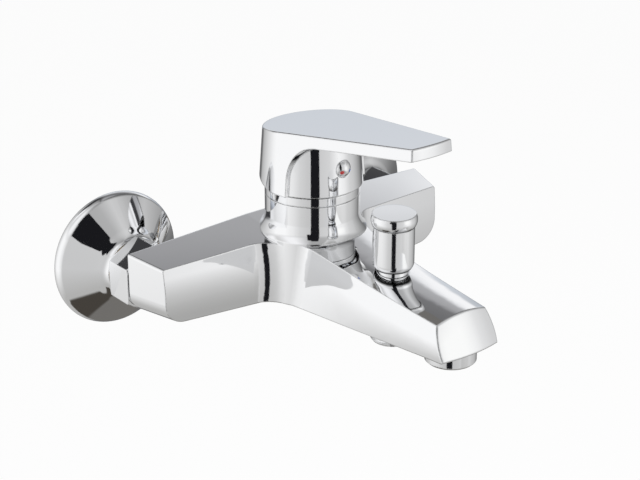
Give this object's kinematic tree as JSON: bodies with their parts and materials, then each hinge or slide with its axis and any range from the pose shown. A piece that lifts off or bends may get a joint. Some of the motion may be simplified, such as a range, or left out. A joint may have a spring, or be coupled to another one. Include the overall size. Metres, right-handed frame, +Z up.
{
  "type": "wall mounted bath faucet",
  "caption": "Chromed single lever bath and shower mixer with swept arms, a flat tapering spout, a pull-up diverter knob and a shower outlet, hung on two wall supplies.",
  "frame": {"origin": "on the wall face, midway between the two wall supply threads", "axes": "+X to the right seen from the front, +Y into the wall along the supply threads, +Z up"},
  "size_m": [0.218, 0.199, 0.118],
  "materials": {
    "chrome_plate": "bright chrome plate",
    "plain_brass": "machined",
    "stainless": "ground",
    "seal_rubber": "matte",
    "cartridge_plastic": "moulded",
    "jet_plastic": "moulded",
    "ceramic": "lapped",
    "hot_red": "enamel",
    "cold_blue": "enamel"
  },
  "bodies": {
    "mixer_body": {"body": "chrome_plate", "wall_union_left": "plain_brass", "wall_union_right": "plain_brass", "escutcheon_left": "chrome_plate", "escutcheon_right": "chrome_plate", "filter_washer_left": "seal_rubber", "filter_washer_right": "seal_rubber", "tailpiece_left": "plain_brass", "tailpiece_right": "plain_brass", "cartridge_base": "cartridge_plastic", "base_seals": "seal_rubber", "fixed_disc": "ceramic", "cartridge_housing": "cartridge_plastic", "cartridge_nut": "plain_brass", "cover": "chrome_plate", "cover_ring": "seal_rubber", "diverter_gland": "chrome_plate", "gland_ring": "seal_rubber", "shower_outlet": "chrome_plate", "outlet_ring": "seal_rubber", "check_valve": "jet_plastic", "aerator_ring": "chrome_plate", "aerator_insert": "jet_plastic", "aerator_gasket": "seal_rubber"},
    "turret": {"turret": "cartridge_plastic", "spindle_pin": "stainless"},
    "lever": {"spindle": "plain_brass", "handle": "chrome_plate", "set_screw": "stainless", "index_button": "chrome_plate", "hot_mark": "hot_red", "cold_mark": "cold_blue"},
    "mixing_disc": {"moving_disc": "ceramic", "disc_carrier": "cartridge_plastic"},
    "diverter": {"diverter_knob": "chrome_plate", "diverter_stem": "plain_brass", "diverter_valve": "plain_brass", "diverter_lower_seal": "seal_rubber", "diverter_upper_seal": "seal_rubber"},
    "left_union_nut": {"union_nut_left": "chrome_plate"},
    "right_union_nut": {"union_nut_right": "chrome_plate"}
  },
  "joints": [
    {"name": "lever_swivel", "type": "hinge", "parent": "mixer_body", "child": "turret", "pos_m": [0, -0.0658, 0.046], "axis": [0, 0, 1], "range_deg": [-50, 50]},
    {"name": "lever_lift", "type": "hinge", "parent": "turret", "child": "lever", "pos_m": [0, -0.0658, 0.046], "axis": [-1, 0, 0], "range_deg": [0, 25]},
    {"name": "disc_slide", "type": "slide", "parent": "turret", "child": "mixing_disc", "axis": [0, -1, 0], "range_m": [0, 0.0062]},
    {"name": "diverter_lift", "type": "slide", "parent": "mixer_body", "child": "diverter", "axis": [0, 0, 1], "range_m": [0, 0.006]},
    {"name": "left_nut_turn", "type": "hinge", "parent": "mixer_body", "child": "left_union_nut", "pos_m": [-0.075, -0.0318, 0.008], "axis": [0, 1, 0], "continuous": true},
    {"name": "right_nut_turn", "type": "hinge", "parent": "mixer_body", "child": "right_union_nut", "pos_m": [0.075, -0.0318, 0.008], "axis": [0, 1, 0], "continuous": true}
  ],
  "couplings": [
    {"joint": "disc_slide", "follows": "lever_lift", "m_per_rad": 0.014045}
  ]
}
